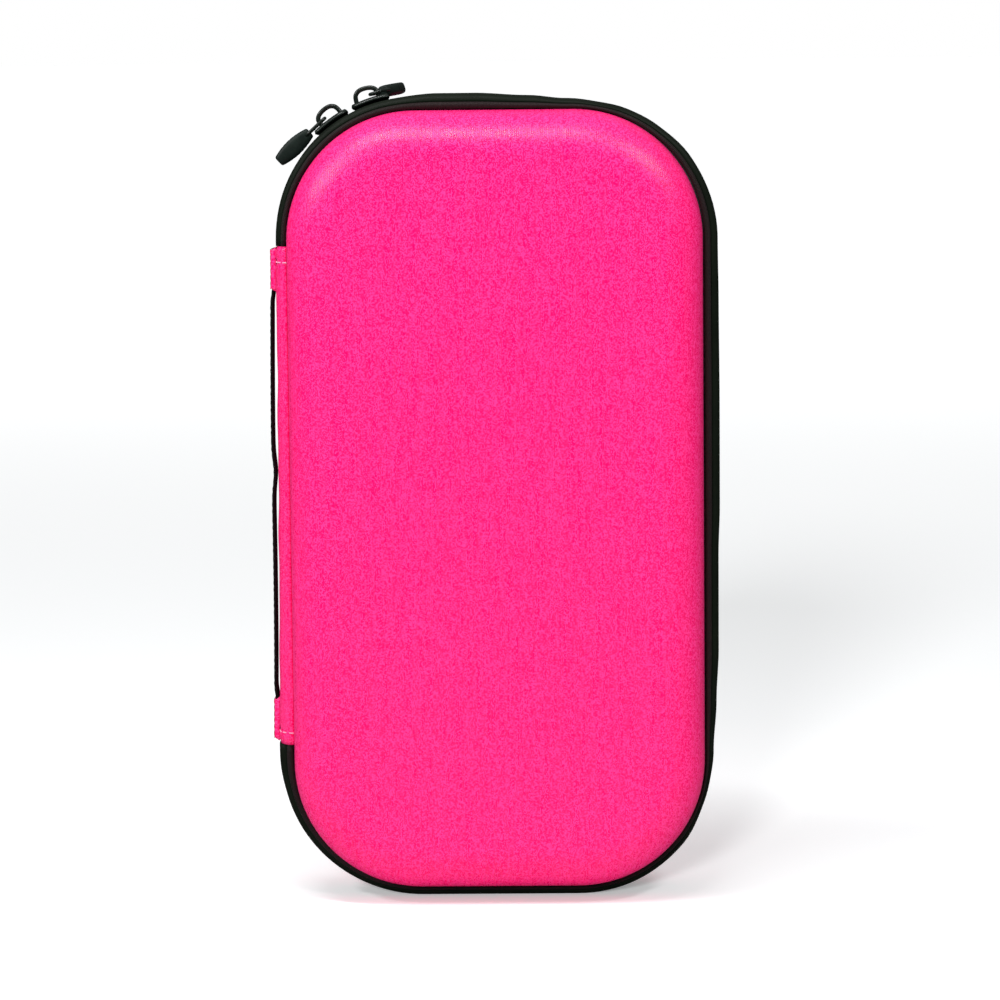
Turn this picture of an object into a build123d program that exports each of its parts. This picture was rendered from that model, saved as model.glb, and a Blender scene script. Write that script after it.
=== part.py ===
from build123d import *
import math
import os

# A zipped clamshell case, standing upright on its short end. +X is to the right and +Z is up.
# The lid faces -Y and the base faces +Y, and they meet on the plane y = 0. The spine is at -X.
# "Stand" is a distance outwards from the foot of the shell's wall, and "depth" is a distance
# from the parting plane. Millimetres and degrees.

# Case, over its zip band
case_width = 149.5
case_height = 274.0
case_depth = 62.0
corner_radius = 48.0
band_stand = 4.2
draft = 3.0
front_edge_radius = 15.0
front_crown = 1.2

# Wall layers, from the outside in
cover_thick = 0.8
foam_thick = 3.6
lining_thick = 0.6
glue_line = 0.05

# Rim: flange of the foam, its inner binding and the piping on its outer side
rim_depth = 7.0
flange_stand = 1.6
flange_thick = 2.3
binding_thick = 0.5
piping_size = 1.9
piping_rounding = 0.85
seam_gap = 0.1

# Zip
zip_slit = 1.0
tape_thick = 0.9
tape_rounding = 2.3
coil_height = 1.9
coil_width = 2.1
stop_length = 1.8

# Spine
spine_length = 170.8
spine_rise = 1.8
spine_fold_depth = 6.0
fold_gap = 0.15
spine_cover_thick = 0.6
stiffener_thick = 1.0
spine_lining_thick = 0.5
wing_hem = 3.4
wing_hem_stand = 0.15

# Carry strap and the covers on its ends
strap_width = 10.0
strap_thick = 1.2
strap_bow = 0.7
strap_end_inset = 1.0
strap_cover_length = 15.0
strap_cover_thick = 0.6
strap_cover_width = 11.6
strap_joggle = 8.0

# Sliders and pulls
slider_length = 13.0
slider_width = 8.6
plate_gap = 0.2
plate_thick = 2.0
plate_corner = 2.0
lid_side_relief = 0.8
keel_thick = 0.7
keel_length = 7.0
keel_bite = 0.2
lower_plate_thick = 1.3
lower_plate_gap = 0.4
bridge_length = 8.9
bridge_nose_inset = 1.5
bridge_rise = 2.8
bridge_bar = 1.6
bridge_width = 2.2
bridge_post = 1.5
bridge_toe = 1.8
bridge_nose_round = 2.6
bridge_tail_round = 1.8
link_wire = 1.2
link_span = 4.4
link_lift = 1.1
link_play = 0.15
tab_start = 6.9
tab_length = 14.6
tab_neck_radius = 1.75
tab_belly_radius = 3.0
tab_tip_radius = 1.85
tab_grip = 1.6
left_slider_angle = 125.6
right_slider_angle = 108.0
left_pull_droop = 7.0
right_pull_droop = 3.5
right_pull_swing = 68.0

# Mesh pocket in the lid
pocket_height = 138.0
net_thick = 0.5
hem_width = 10.0
hem_thick = 1.2
pocket_gap = 0.3

# Elastic straps in the base
elastic_thick = 1.2
elastic_width = 25.0
elastic_reach = 50.0
elastic_overlap = 10.0
elastic_height = 150.0
patch_thick = 1.0
patch_length = 16.0
patch_inset = 1.5
band_elastic_height = 75.0
band_elastic_width = 20.0
lay_gap = 0.1

# Sizes that follow
strap_stand = band_stand + seam_gap + strap_thick + strap_cover_thick + seam_gap
case_x = (strap_stand - band_stand) / 2
case_z = case_height / 2
shell_width = case_width - 2 * band_stand
shell_height = case_height - 2 * band_stand
shell_radius = corner_radius - band_stand
half_depth = case_depth / 2
wall = cover_thick + foam_thick + lining_thick + 2 * glue_line
flange_front = rim_depth + flange_thick
hem_front = flange_front + 2 * seam_gap
tape_start = zip_slit / 2
tape_inner = band_stand - tape_thick
coil_outer = tape_inner - seam_gap
coil_inner = coil_outer - coil_height
arc_x = case_x - case_width / 2 + corner_radius
arc_z = case_height - corner_radius
spine_z = case_z + spine_rise
spine_low = spine_z - spine_length / 2
spine_high = spine_z + spine_length / 2


def outline(stand):
    """The case's rounded outline, grown outwards from the foot of the shell's wall."""
    shape = RectangleRounded(shell_width + 2 * stand, shell_height + 2 * stand, shell_radius + stand)
    return Pos(case_x, case_z) * shape


def layer(sketch, start, end):
    """A flat layer of the lid between two depths."""
    return extrude(Plane.XZ.offset(start) * sketch, end - start)


def ring(inner, outer, start, end):
    """A closed ring of the lid between two stands and two depths."""
    return layer(outline(outer) - outline(inner), start, end)


def front_edges(shape, depth):
    """The edges of a shape that lie wholly in front of a depth."""
    return shape.edges().filter_by(lambda edge: edge.bounding_box().max.Y < -depth)


def form(inset, crown):
    """The solid form of a shell, drawn in from its outer surface by an inset."""
    reach = half_depth - rim_depth - inset
    face = Plane.XZ.offset(rim_depth) * outline(-inset)
    block = extrude(face, reach, taper=draft)
    if crown > 0:
        half_long = shell_height / 2 - front_edge_radius
        ball_radius = (half_long ** 2 + crown ** 2) / (2 * crown) - inset
        block = block & Pos(case_x, ball_radius - half_depth + inset, case_z) * Sphere(ball_radius)
    edges = front_edges(block, half_depth - inset - 2 * crown - 1)
    return fillet(edges, front_edge_radius - inset)


def open_at_spine(shape, margin):
    """Cut a ring away along the spine, and this much past each of its ends."""
    reach = corner_radius
    height = spine_length + 2 * margin
    return shape - Pos(case_x - case_width / 2, 0, spine_z) * Box(reach, case_depth, height)


def left_x(stand):
    """The x of a stand on the spine side."""
    return case_x - shell_width / 2 - stand


def spine_section(points):
    """A strip along the spine, from the stands and depths of its section's corners."""
    corners = [(left_x(stand), -depth) for stand, depth in points]
    return extrude(Plane.XY.offset(spine_low) * make_face(Polyline(*corners, close=True)), spine_length)


def spine_layer(outer, thick):
    """A flat layer of the spine between its two fold lines."""
    side = spine_fold_depth - fold_gap
    return spine_section([(outer, side), (outer - thick, side), (outer - thick, -side), (outer, -side)])


def behind(shape):
    """The base's copy of a lid piece."""
    return mirror(shape, Plane.XZ)


# Shells
def make_shell(crown):
    """Cover, foam and lining of one shell, in the lid's place."""
    foam_inset = cover_thick + glue_line
    foam_inner = foam_inset + foam_thick
    lining_inset = foam_inner + glue_line
    room = form(wall, crown)
    skin = form(0, crown) - form(cover_thick, crown)
    skin = skin - layer(outline(band_stand), 0, flange_front + seam_gap)
    foam = form(foam_inset, crown) - form(foam_inner, crown)
    foam = foam + ring(-foam_inset - foam_thick / 2, flange_stand, rim_depth, flange_front)
    lining = form(lining_inset, crown) - room
    return skin, foam, lining


def make_binding():
    """The tape over the foam's raw edge, inside the case."""
    end = rim_depth - seam_gap
    return ring(-wall, flange_stand, end - binding_thick, end)


def make_piping():
    """The cord edging in front of the flange."""
    start = hem_front + seam_gap
    cord = ring(wing_hem_stand, wing_hem_stand + piping_size, start, start + piping_size)
    cord = fillet(cord.edges(), piping_rounding)
    return open_at_spine(cord, seam_gap)


def make_tape():
    """Half the zip tape: upright at the slit, rounding over to the flange."""
    outer = layer(outline(band_stand), tape_start, hem_front)
    outer = fillet(front_edges(outer, hem_front - seam_gap), tape_rounding)
    inner = layer(outline(tape_inner), 0, hem_front - tape_thick)
    inner = fillet(front_edges(inner, hem_front - tape_thick - seam_gap), tape_rounding - tape_thick)
    middle = layer(outline(flange_stand + seam_gap), 0, case_depth)
    return open_at_spine(outer - inner - middle, seam_gap)


def make_coil():
    """Half the zip coil, inside the tape's free edge, and the stops at its ends."""
    whole = ring(coil_inner, coil_outer, tape_start, tape_start + coil_width)
    coil = open_at_spine(whole, 2 * seam_gap + stop_length)
    stops = open_at_spine(whole, seam_gap) - open_at_spine(whole, seam_gap + stop_length)
    return coil, stops


def make_wing():
    """One wing of the spine's fabric, from the fold line over the flange to the shell's wall."""
    fold = spine_fold_depth + fold_gap
    outer = band_stand
    inner = band_stand - spine_cover_thick
    flange_clear = flange_stand + 3 * seam_gap
    hem = hem_front + wing_hem
    points = [
        (outer, fold),
        (inner, fold),
        (flange_clear, flange_front + seam_gap),
        (wing_hem_stand, hem - spine_cover_thick),
        (wing_hem_stand, hem),
        (flange_clear + spine_cover_thick, flange_front + spine_cover_thick),
    ]
    return spine_section(points)


lid_cover, lid_foam, lid_lining = make_shell(front_crown)
back_cover, back_foam, back_lining = make_shell(0)
coil_half, stop_pair = make_coil()

parts = {
    "lid_cover": lid_cover,
    "lid_foam_shell": lid_foam,
    "lid_lining": lid_lining,
    "lid_rim_binding": make_binding(),
    "lid_piping": make_piping(),
    "lid_zip_tape": make_tape(),
    "lid_zip_coil": coil_half,
    "lid_zip_stops": stop_pair,
    "lid_spine_wing": make_wing(),
    "base_cover": behind(back_cover),
    "base_foam_shell": behind(back_foam),
    "base_lining": behind(back_lining),
    "base_rim_binding": behind(make_binding()),
    "base_piping": behind(make_piping()),
    "base_zip_tape": behind(make_tape()),
    "base_zip_coil": behind(coil_half),
    "base_zip_stops": behind(stop_pair),
    "base_spine_wing": behind(make_wing()),
}

# Spine between its fold lines
stiffener_outer = band_stand - spine_cover_thick - seam_gap
spine_lining_outer = stiffener_outer - stiffener_thick - seam_gap
parts["spine_cover"] = spine_layer(band_stand, spine_cover_thick)
parts["spine_stiffener"] = spine_layer(stiffener_outer, stiffener_thick)
parts["spine_lining"] = spine_layer(spine_lining_outer, spine_lining_thick)


# Carry strap
def make_strap():
    """Flat webbing on the spine, a little proud of it between its two sewn ends."""
    low = band_stand + seam_gap
    high = low + strap_bow
    bottom = spine_low + strap_end_inset
    top = spine_high - strap_end_inset
    step = strap_cover_length + strap_joggle
    inner = [
        (left_x(low), bottom),
        (left_x(low), bottom + strap_cover_length),
        (left_x(high), bottom + step),
        (left_x(high), top - step),
        (left_x(low), top - strap_cover_length),
        (left_x(low), top),
    ]
    outer = [(x - strap_thick, z) for x, z in reversed(inner)]
    face = make_face(Polyline(*inner, *outer, close=True))
    return extrude(Plane.XZ * face, strap_width / 2, both=True)


def make_strap_cover(low):
    """The fabric patch over one end of the strap."""
    inner = band_stand + 2 * seam_gap + strap_thick
    x = left_x(inner + strap_cover_thick / 2)
    patch = Box(strap_cover_thick, strap_cover_width, strap_cover_length)
    return Pos(x, 0, low + strap_cover_length / 2) * patch


parts["carry_strap"] = make_strap()
parts["strap_end_cover_lower"] = make_strap_cover(spine_low + strap_end_inset / 2)
parts["strap_end_cover_upper"] = make_strap_cover(spine_high - strap_end_inset / 2 - strap_cover_length)

# Sliders, drawn at the top of the corner's arc with the arc's centre at the origin.
# The nose points to +X and the pull to -X.
plate_inner = shell_radius + band_stand + plate_gap
plate_outer = plate_inner + plate_thick
lower_outer = shell_radius + coil_inner - lower_plate_gap
lower_inner = lower_outer - lower_plate_thick
nose_x = slider_length / 2
bridge_nose = nose_x - bridge_nose_inset
bridge_tail = bridge_nose - bridge_length
post_x = bridge_tail + bridge_post / 2
post_reach = math.hypot(bridge_post, bridge_width) / 2
crossbar_x = post_x + post_reach + link_wire / 2 + link_play
crossbar_z = plate_outer + link_lift


def arc_plate(inner, outer, length, front, back):
    """A plate that follows the corner's arc. Front and back are how far it reaches in -Y and +Y."""
    tube = Cylinder(outer, front + back) - Cylinder(inner, front + back)
    tube = Pos(0, (back - front) / 2, 0) * Rot(90, 0, 0) * tube
    return tube & Pos(0, 0, outer) * Box(length, 2 * slider_width, outer)


def make_slider():
    """Upper plate over both tapes, keel through the slit and lower plate under the base's coil."""
    half = slider_width / 2
    upper = arc_plate(plate_inner, plate_outer, slider_length, half, half)
    corners = upper.edges().filter_by(Axis.Z)
    upper = fillet(corners, plate_corner)
    relief = arc_plate(plate_inner, plate_inner + lid_side_relief, 2 * slider_length, slider_width, -tape_start)
    keel = arc_plate(lower_inner, plate_inner + keel_bite, keel_length, keel_thick / 2, keel_thick / 2)
    lower = arc_plate(lower_inner, lower_outer, slider_length - 2 * plate_corner, keel_thick / 2, half)
    return (upper - relief) + keel + lower


def make_bridge():
    """The loop on the slider that its pull hangs in."""
    top = plate_outer + bridge_rise
    height = 2 * bridge_rise + bridge_bar
    middle = (bridge_nose + bridge_tail) / 2
    side = Pos(middle, top + bridge_bar - height / 2) * Rectangle(bridge_length, height)
    upper = side.vertices().sort_by(Axis.Y)[-2:].sort_by(Axis.X)
    side = fillet(upper[0], bridge_tail_round)
    side = fillet(side.vertices().sort_by(Axis.Y)[-2:].sort_by(Axis.X)[-1], bridge_nose_round)
    window_length = bridge_length - bridge_post - bridge_toe
    window = Rectangle(window_length, 2 * bridge_rise)
    window = fillet(window.vertices().sort_by(Axis.Y)[-2:], bridge_tail_round / 2)
    window_middle = bridge_tail + bridge_post + window_length / 2
    side = side - Pos(window_middle, top - bridge_rise) * window
    loop = extrude(Plane.XZ * side, bridge_width / 2, both=True)
    return loop - arc_plate(lower_inner, plate_outer, 2 * slider_length, slider_width, slider_width)


def make_link():
    """The wire loop of a pull, with its near bar at the origin and its far end to -X."""
    length = tab_start + tab_grip
    path = Pos(-length / 2, 0) * RectangleRounded(length, link_span, link_wire)
    start = path.wires()[0] @ 0
    along = path.wires()[0] % 0
    section = Plane(origin=start, z_dir=along) * Circle(link_wire / 2)
    return sweep(section, path=path.wires()[0])


def make_tab(link):
    """The moulded barrel of a pull, gripping the far end of its link."""
    points = [(-tab_start, tab_neck_radius), (-tab_start - tab_length, tab_tip_radius)]
    belly = (-tab_start - tab_length / 2, tab_belly_radius)
    profile = [
        Line((-tab_start, 0), points[0]),
        ThreePointArc(points[0], belly, points[1]),
        Line(points[1], (points[1][0], 0)),
        Line((points[1][0], 0), (-tab_start, 0)),
    ]
    barrel = revolve(Plane.XZ * make_face(Curve() + profile), Axis.X)
    return barrel - link


def place_pull(shape, droop, swing):
    """Hang a pull in the bridge, drooping to the band and swung to +Y about the bridge's tail post."""
    hung = Pos(crossbar_x, 0, crossbar_z) * Rot(0, -droop, 0) * shape
    return Pos(post_x, 0, 0) * Rot(0, 0, -swing) * Pos(-post_x, 0, 0) * hung


def place_on_arc(shape, angle):
    """Move a piece from the top of the arc to an angle on it, measured from +X."""
    return Pos(arc_x, 0, arc_z) * Rot(0, 90 - angle, 0) * shape


link = make_link()
tab = make_tab(link)
left_pieces = {
    "body": make_slider(),
    "bridge": make_bridge(),
    "pull_link": place_pull(link, left_pull_droop, 0),
    "pull_tab": place_pull(tab, left_pull_droop, 0),
}
right_pieces = {
    "body": make_slider(),
    "bridge": make_bridge(),
    "pull_link": place_pull(link, right_pull_droop, right_pull_swing),
    "pull_tab": place_pull(tab, right_pull_droop, right_pull_swing),
}
for name, piece in left_pieces.items():
    parts["left_slider_" + name] = place_on_arc(piece, left_slider_angle)
for name, piece in right_pieces.items():
    parts["right_slider_" + name] = place_on_arc(mirror(piece, Plane.YZ), right_slider_angle)


# Mesh pocket in the lid
def make_pocket():
    """A net across the lower part of the lid, and the elastic hem along its top."""
    start = rim_depth + pocket_gap
    room = outline(-wall - pocket_gap)
    floor = shell_height / 2 + band_stand
    cut = Pos(case_x, pocket_height - floor) * Rectangle(shell_width, 2 * floor)
    net = layer(room & cut, start, start + net_thick)
    strip = Pos(case_x, pocket_height + pocket_gap + hem_width / 2) * Rectangle(shell_width, hem_width)
    hem = layer(room & strip, start, start + hem_thick)
    return net, hem


parts["mesh_pocket_net"], parts["mesh_pocket_hem"] = make_pocket()

# Elastic straps on the base's floor
floor_y = half_depth - wall - lay_gap
stack = 2 * patch_thick + elastic_thick + 3 * lay_gap


def lie_flat(low, high, width, height, off_floor, thick):
    """A flat strip on the floor of the base, between two places across the case."""
    size = Box(high - low, thick, width)
    return Pos(case_x + (low + high) / 2, floor_y - off_floor - thick / 2, height) * size


def make_upper_strap():
    """The strap's left half: from its sewn end up and over the patches on the right half."""
    rise = floor_y - stack
    step = elastic_overlap + patch_length
    near = [(-elastic_reach, floor_y), (-step, floor_y), (-elastic_overlap, rise), (elastic_overlap, rise)]
    far = [(x, y - elastic_thick) for x, y in reversed(near)]
    face = make_face(Polyline(*near, *far, close=True))
    return Pos(case_x, 0, elastic_height - elastic_width / 2) * extrude(face, elastic_width)


patch_width = elastic_width - 2 * patch_inset
patch_half = patch_length / 2
loop_lift = elastic_thick + lay_gap
hook_lift = loop_lift + patch_thick + lay_gap
parts["elastic_strap_left"] = make_upper_strap()
parts["elastic_strap_right"] = lie_flat(
    -elastic_overlap, elastic_reach, elastic_width, elastic_height, 0, elastic_thick
)
parts["strap_loop_patch"] = lie_flat(
    -patch_half, patch_half, patch_width, elastic_height, loop_lift, patch_thick
)
parts["strap_hook_patch"] = lie_flat(
    -patch_half, patch_half, patch_width, elastic_height, hook_lift, patch_thick
)
parts["elastic_band"] = lie_flat(
    -elastic_reach, elastic_reach, band_elastic_width, band_elastic_height, 0, elastic_thick
)

os.makedirs("parts", exist_ok=True)
for name, shape in parts.items():
    export_step(shape, "parts/" + name + ".step")
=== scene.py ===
import math

import bmesh
import bpy
from mathutils import Matrix, Vector


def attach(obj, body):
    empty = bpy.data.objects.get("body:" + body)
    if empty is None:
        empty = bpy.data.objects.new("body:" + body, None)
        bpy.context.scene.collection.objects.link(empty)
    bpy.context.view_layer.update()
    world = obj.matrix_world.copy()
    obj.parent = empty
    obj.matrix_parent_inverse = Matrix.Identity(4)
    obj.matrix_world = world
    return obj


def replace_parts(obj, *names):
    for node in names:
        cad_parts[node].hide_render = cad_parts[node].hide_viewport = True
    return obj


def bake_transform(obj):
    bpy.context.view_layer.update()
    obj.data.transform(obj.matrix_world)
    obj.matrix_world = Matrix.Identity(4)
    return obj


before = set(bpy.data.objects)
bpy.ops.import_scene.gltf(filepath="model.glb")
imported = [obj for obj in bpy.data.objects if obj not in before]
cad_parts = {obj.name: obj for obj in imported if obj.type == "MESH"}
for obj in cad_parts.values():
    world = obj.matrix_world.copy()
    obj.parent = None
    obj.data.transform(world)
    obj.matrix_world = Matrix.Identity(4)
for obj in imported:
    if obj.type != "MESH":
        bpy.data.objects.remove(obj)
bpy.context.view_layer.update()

# ---------------------------------------------------------------------------------------
# Shell covers, one over the lid and one over the base.
# A fine polyester knit is laminated to the foam and moulded with it, so it has no seams.
# Its ribs run up the case, and turn over the rounded front edge and down the walls.

MM = 0.001
SHELL_MIDDLE = (1.0, 137.0)
SHELL_CORNER = 43.8
TOP_RUN = 53.5
SIDE_RUN = 178.0
CORNER_RUN = SHELL_CORNER * math.pi / 2
RIM_LENGTH = 2 * (TOP_RUN + SIDE_RUN) + 4 * CORNER_RUN
RIM_STEP = 2.4
WALL_FOOT = 7.0
COVER_START = 9.6
SHELL_DEPTH = 31.0
SHELL_EDGE = 15.0
SHELL_DRAFT = math.radians(3)
COVER_THICK = 0.8
CROWN_RADIUS = 5783.0
MIDDLE_REACH = 88.0
LID, BASE = -1, 1
PINK = (0.93, 0.009, 0.19)
KNIT_WALE, KNIT_COURSE = 0.36, 0.42
COURSE_SHIFT = 0.37


class Flow:
    """A socket of a node tree. Arithmetic on it adds Math nodes to that tree."""

    def __init__(self, tree, socket):
        self.tree = tree
        self.socket = socket

    def math(self, operation, *values):
        return add_node(self.tree, "ShaderNodeMath", {"operation": operation}, dict(enumerate(values)))

    def __add__(self, other):
        return self.math("ADD", self, other)

    def __sub__(self, other):
        return self.math("SUBTRACT", self, other)

    def __rsub__(self, other):
        return self.math("SUBTRACT", other, self)

    def __mul__(self, other):
        return self.math("MULTIPLY", self, other)

    __radd__ = __add__
    __rmul__ = __mul__

    def sine(self):
        return self.math("SINE", self)

    def size(self):
        return self.math("ABSOLUTE", self)

    def floor(self):
        return self.math("FLOOR", self)

    def over(self, limit):
        return self.math("GREATER_THAN", self, limit)


def add_node(tree, kind, settings=None, sockets=None, output=None):
    """A node with its settings made first, then its sockets filled with values or links."""
    made = tree.nodes.new(kind)
    for key, value in (settings or {}).items():
        setattr(made, key, value)
    for key, value in (sockets or {}).items():
        if isinstance(key, int):
            target = made.inputs[key]
        else:
            target = next(s for s in made.inputs if s.enabled and key in (s.identifier, s.name))
        put(tree, target, value)
    chosen = next(s for s in made.outputs if s.enabled and output in (None, s.identifier, s.name))
    return Flow(tree, chosen)


def put(tree, socket, value):
    """Link a flow to a socket, or set a plain value on it."""
    if isinstance(value, Flow):
        tree.links.new(value.socket, socket)
    elif socket.type == "RGBA":
        socket.default_value = (*value, 1) if len(value) == 3 else value
    else:
        socket.default_value = value


class Finish:
    """A material with one Principled shader and the coordinates that its patterns are drawn on."""

    def __init__(self, name, **constants):
        self.material = bpy.data.materials.new(name)
        self.material.use_nodes = True
        self.tree = self.material.node_tree
        self.shader = self.tree.nodes["Principled BSDF"]
        for key, value in constants.items():
            self.feed(key.replace("_", " "), value)

    def node(self, kind, settings=None, sockets=None, output=None):
        return add_node(self.tree, kind, settings, sockets, output)

    def place(self, kind="Object", stretch=(1, 1, 1)):
        """The surface's place in millimetres, stretched along each axis."""
        spot = self.node("ShaderNodeTexCoord", output=kind)
        scale = 1000 if kind == "Object" else 1
        sizes = [scale * s for s in stretch]
        return self.node("ShaderNodeVectorMath", {"operation": "MULTIPLY"}, {0: spot, 1: sizes})

    def axes(self, spot):
        return [self.node("ShaderNodeSeparateXYZ", None, {0: spot}, axis) for axis in "XYZ"]

    def noise(self, spot, scale, detail=2.0, roughness=0.5):
        sockets = {"Vector": spot, "Scale": scale, "Detail": detail, "Roughness": roughness}
        return self.node("ShaderNodeTexNoise", None, sockets, "Fac")

    def chance(self, column, row):
        """A fixed random number for each cell of a grid."""
        cell = self.node("ShaderNodeCombineXYZ", None, {0: column, 1: row, 2: 0.5})
        return self.node("ShaderNodeTexWhiteNoise", {"noise_dimensions": "3D"}, {"Vector": cell}, "Value")

    def blend(self, share, low, high):
        sockets = {"Factor_Float": share, "A_Color": low, "B_Color": high}
        return self.node("ShaderNodeMix", {"data_type": "RGBA"}, sockets, "Result_Color")

    def feed(self, socket, value):
        put(self.tree, self.shader.inputs[socket], value)

    def colour(self, value):
        self.feed("Base Color", value)

    def rough(self, value):
        self.feed("Roughness", value)

    def bump(self, height, distance, strength=1.0):
        sockets = {"Height": height, "Distance": distance * MM, "Strength": strength}
        self.feed("Normal", self.node("ShaderNodeBump", None, sockets))


def knit_finish(name, base):
    """Fine knit: upright wales of small loops, each its own shade, and a glossy thread here and there."""
    finish = Finish(name, Specular_IOR_Level=0.4)
    across, along, _ = finish.axes(finish.place("UV"))
    column = (across * (1 / KNIT_WALE)).floor()
    row = (along * (1 / KNIT_COURSE) + column * COURSE_SHIFT).floor()
    loop = finish.chance(column, row)
    thread = finish.chance(column, (along * 0.045 + column * 0.61).floor())
    ribs = (across * (math.pi / KNIT_WALE)).sine()
    loops = (along * (2 * math.pi / KNIT_COURSE) + column * (2 * math.pi * COURSE_SHIFT)).sine()
    clouds = finish.noise(finish.place("UV", (0.05, 0.03, 0.02)), 1.0)
    fuzz = finish.noise(finish.place("UV", (2.6, 2.0, 1)), 1.0, 2.0, 0.7)
    deep = (base[0] * 0.9, base[1] * 0.08, base[2] * 0.66)
    pale = (min(1, base[0] * 1.04), base[1] * 1.3 + 0.02, base[2] * 1.2 + 0.02)
    shade = loop * 2.5 + ribs * 0.12 + thread * 0.1 + fuzz * 1.05 + clouds * 0.12 - 1.48
    finish.colour(finish.blend(shade, deep, pale))
    finish.rough(0.18 + thread * 0.2 + loop * 0.16)
    finish.bump(ribs * 0.5 + loops * 0.2 + loop * 0.3 + thread * 0.2 + fuzz * 0.2, 0.045, 0.6)
    return finish.material


def rim_place(run):
    """The foot of the wall and its outward direction, this far round the case.

    It starts where the spine side meets the upper corner, and goes over the top."""
    centre_x, centre_z = TOP_RUN / 2, SIDE_RUN / 2
    runs = [
        (CORNER_RUN, (-centre_x, centre_z), 180),
        (TOP_RUN, (-centre_x, centre_z), 90),
        (CORNER_RUN, (centre_x, centre_z), 90),
        (SIDE_RUN, (centre_x, centre_z), 0),
        (CORNER_RUN, (centre_x, -centre_z), 0),
        (TOP_RUN, (centre_x, -centre_z), -90),
        (CORNER_RUN, (-centre_x, -centre_z), -90),
        (SIDE_RUN, (-centre_x, -centre_z), -180),
    ]
    left = run % RIM_LENGTH
    for index, (length, centre, start) in enumerate(runs):
        if left <= length or index == 7:
            break
        left -= length
    curved = index % 2 == 0
    angle = math.radians(start - (90 * left / length if curved else 0))
    out = Vector((math.cos(angle), math.sin(angle)))
    foot = Vector(SHELL_MIDDLE) + Vector(centre) + out * SHELL_CORNER
    if not curved:
        foot += Vector((out.y, -out.x)) * left
    return foot, out


def rim_ring():
    """Places all round the rim, alike on both sides."""
    places, start = [], 0.0
    for length in (CORNER_RUN, TOP_RUN, CORNER_RUN, SIDE_RUN) * 2:
        count = 2 * round(length / RIM_STEP / 2)
        places += [start + length * i / count for i in range(count)]
        start += length
    return places


def add_object(name, data):
    """A new object in the scene's collection."""
    made = bpy.data.objects.new(name, data)
    bpy.context.scene.collection.objects.link(made)
    return made


def make_piece(name, points, faces, finish, cloth=None):
    """A smooth mesh from points in millimetres, with its doubles merged and its faces outwards."""
    mesh = bpy.data.meshes.new(name)
    mesh.from_pydata([Vector(p) * MM for p in points], [], faces)
    if cloth:
        layer = mesh.uv_layers.new(name="cloth")
        for loop in mesh.loops:
            layer.data[loop.index].uv = cloth[loop.vertex_index]
    form = bmesh.new()
    form.from_mesh(mesh)
    bmesh.ops.remove_doubles(form, verts=form.verts, dist=0.004 * MM)
    bmesh.ops.recalc_face_normals(form, faces=form.faces)
    form.to_mesh(mesh)
    form.free()
    mesh.shade_smooth()
    mesh.materials.append(finish)
    return add_object(name, mesh)


def grid_faces(rows, columns, close_rows=False, close_columns=False):
    """Quads between neighbouring points of a grid that is listed row by row."""
    faces = []
    for row in range(rows if close_rows else rows - 1):
        for column in range(columns if close_columns else columns - 1):
            near, far = row * columns, (row + 1) % rows * columns
            beside = (column + 1) % columns
            faces.append((near + column, near + beside, far + beside, far + column))
    return faces


def tube_faces(rows, columns):
    """Faces of a tube through rings of points, with both its ends filled."""
    last = (rows - 1) * columns
    ends = [tuple(range(columns)), tuple(range(last, last + columns))]
    return grid_faces(rows, columns, close_columns=True) + ends


def settle(piece):
    """Put a piece's modifiers into its mesh."""
    seen = piece.evaluated_get(bpy.context.evaluated_depsgraph_get())
    piece.data = bpy.data.meshes.new_from_object(seen)
    piece.modifiers.clear()
    return piece


def thicken(piece, thick):
    """Give an open skin its thickness, on its inner side."""
    wall = piece.modifiers.new("wall", "SOLIDIFY")
    wall.thickness = thick * MM
    wall.offset = -1
    return settle(piece)


def cover_profile(top_depth):
    """Inset and depth down the wall and round the front edge, for a front at this depth."""
    slope = math.tan(SHELL_DRAFT)
    turn_depth = top_depth - SHELL_EDGE
    turn_inset = (turn_depth - WALL_FOOT) * slope + SHELL_EDGE / math.cos(SHELL_DRAFT)
    wall = [COVER_START + (turn_depth - COVER_START) * i / 5 for i in range(5)]
    profile = [((depth - WALL_FOOT) * slope, depth) for depth in wall]
    for i in range(15):
        angle = math.pi / 2 * i / 14 + SHELL_DRAFT * (1 - i / 14)
        profile.append((turn_inset - SHELL_EDGE * math.cos(angle), turn_depth + SHELL_EDGE * math.sin(angle)))
    return profile


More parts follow.
